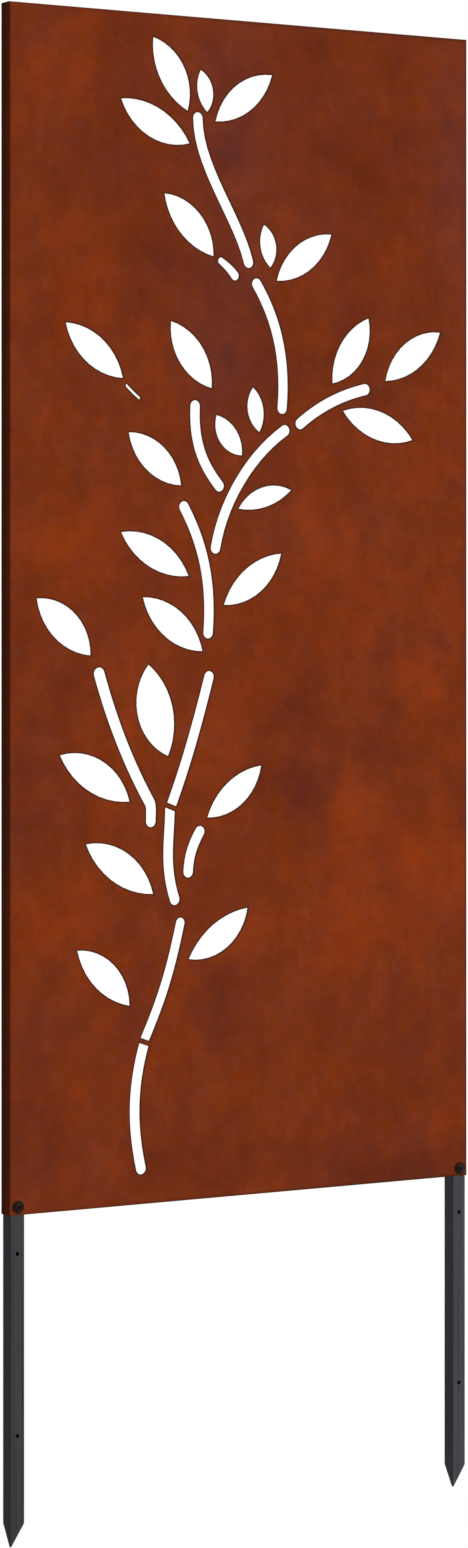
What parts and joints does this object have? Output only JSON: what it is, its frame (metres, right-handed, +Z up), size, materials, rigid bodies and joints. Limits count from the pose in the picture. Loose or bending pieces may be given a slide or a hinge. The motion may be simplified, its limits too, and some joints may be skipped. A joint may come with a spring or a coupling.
{
  "type": "laser cut metal screen",
  "caption": "Upright garden screen of folded rust-brown sheet with a leafy branch cut through it, on two square tube stakes screwed inside its bottom corners.",
  "frame": {"origin": "middle of the panel's bottom edge, half way through the depth of its folded sides, on the ground line", "axes": "+X across the panel to the right as seen from the front, +Y from the front to the back, +Z up"},
  "size_m": [0.5, 0.0276, 1.4],
  "materials": {
    "weathered_steel": "matt rust patina",
    "black_coated_steel": "satin powder coat",
    "dark_fixing_steel": "dark oxide"
  },
  "bodies": {
    "root": {"screen_panel": "weathered_steel", "left_stake": "black_coated_steel", "right_stake": "black_coated_steel", "left_screw": "dark_fixing_steel", "right_screw": "dark_fixing_steel", "left_washer": "dark_fixing_steel", "right_washer": "dark_fixing_steel", "left_nut": "dark_fixing_steel", "right_nut": "dark_fixing_steel"}
  },
  "joints": []
}
